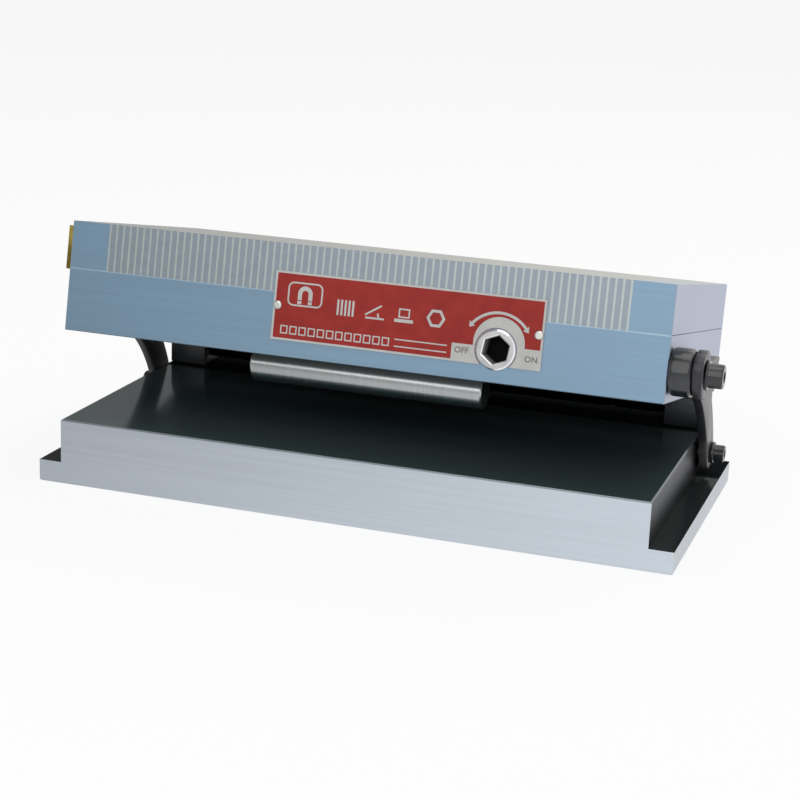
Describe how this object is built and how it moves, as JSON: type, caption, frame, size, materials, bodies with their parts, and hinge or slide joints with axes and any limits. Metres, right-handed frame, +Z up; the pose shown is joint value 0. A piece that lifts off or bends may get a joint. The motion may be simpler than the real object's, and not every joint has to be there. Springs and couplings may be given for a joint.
{
  "type": "sine magnetic chuck",
  "caption": "Tilting permanent magnetic chuck: a laminated work face on a sine hinge over a ground base, held at its angle by slotted side arms and switched by a hex key shaft.",
  "frame": {"origin": "Middle of the base's underside, on the machine table.", "axes": "X runs along the chuck's length towards its key end, Y runs from the name plate side to the hinge side, Z is up. Rest is the pictured tilt of 11 degrees, switched off."},
  "size_m": [0.3934, 0.1913, 0.1527],
  "materials": {
    "base_steel": "ground",
    "chuck_steel": "ground",
    "pole_steel": "ground",
    "roller_steel": "hardened and ground",
    "black_steel": "black oxide",
    "brass": "ground",
    "stop_brass": "ground",
    "bronze": "turned",
    "chrome": "polished",
    "plate_red": "printed",
    "rivet_alloy": "plain",
    "seal_rubber": "moulded",
    "carrier_alloy": "milled",
    "magnet_alloy": "cast magnet alloy"
  },
  "bodies": {
    "base": {"base_plate": "base_steel", "hinge_block_left": "base_steel", "hinge_block_right": "base_steel", "hinge_bushes": "bronze", "hinge_block_screws": "black_steel", "arm_thrust_washers": "black_steel", "arm_pivot_washers": "black_steel", "arm_pivot_screws": "black_steel"},
    "chuck": {"chuck_housing": "chuck_steel", "steel_poles": "pole_steel", "brass_spacers": "brass", "end_block_left": "chuck_steel", "end_block_right": "chuck_steel", "top_plate_screws": "black_steel", "hinge_roller": "roller_steel", "hinge_roller_screws": "black_steel", "sine_roller": "roller_steel", "sine_roller_screws": "black_steel", "name_plate": "plate_red", "name_plate_rivets": "rivet_alloy", "shaft_bush": "bronze", "shaft_retainer": "black_steel", "guide_strips": "bronze", "arm_boss": "black_steel", "arm_lock_washers": "black_steel", "arm_lock_screw_left": "black_steel", "arm_lock_screw_right": "black_steel", "end_stop_screws": "black_steel"},
    "arm_left": {"lock_arm_left": "black_steel"},
    "arm_right": {"lock_arm_right": "black_steel"},
    "key": {"key_shaft": "chrome", "shaft_seal": "seal_rubber", "crank_roller": "roller_steel"},
    "magnet_pack": {"magnet_carrier": "carrier_alloy", "magnets": "magnet_alloy", "pole_bars": "pole_steel"},
    "stop": {"end_stop": "stop_brass"}
  },
  "joints": [
    {"name": "chuck_tilt", "type": "hinge", "parent": "base", "child": "chuck", "pos_m": [0, 0.075, 0.0525], "axis": [-1, 0, 0], "range_deg": [-12.5, 9]},
    {"name": "arm_left_swing", "type": "hinge", "parent": "base", "child": "arm_left", "pos_m": [-0.1785, 0.056, 0.027], "axis": [-1, 0, 0], "range_deg": [-12.5, 9]},
    {"name": "arm_right_swing", "type": "hinge", "parent": "base", "child": "arm_right", "pos_m": [0.1785, 0.056, 0.027], "axis": [-1, 0, 0], "range_deg": [-12.5, 9]},
    {"name": "key_turn", "type": "hinge", "parent": "chuck", "child": "key", "pos_m": [0.0817, -0.0771, 0.10855], "axis": [0, 0.9816, -0.1908], "range_deg": [0, 180]},
    {"name": "magnet_slide", "type": "slide", "parent": "chuck", "child": "magnet_pack", "axis": [1, 0, 0], "range_m": [0, 0.0084]},
    {"name": "stop_lift", "type": "slide", "parent": "chuck", "child": "stop", "axis": [0, 0.1908, 0.9816], "range_m": [0, 0.008]}
  ],
  "couplings": [
    {"joint": "arm_left_swing", "follows": "chuck_tilt", "ratio": 1},
    {"joint": "arm_right_swing", "follows": "chuck_tilt", "ratio": 1},
    {"joint": "key_turn", "follows": "magnet_slide", "rad_per_m": 374}
  ]
}
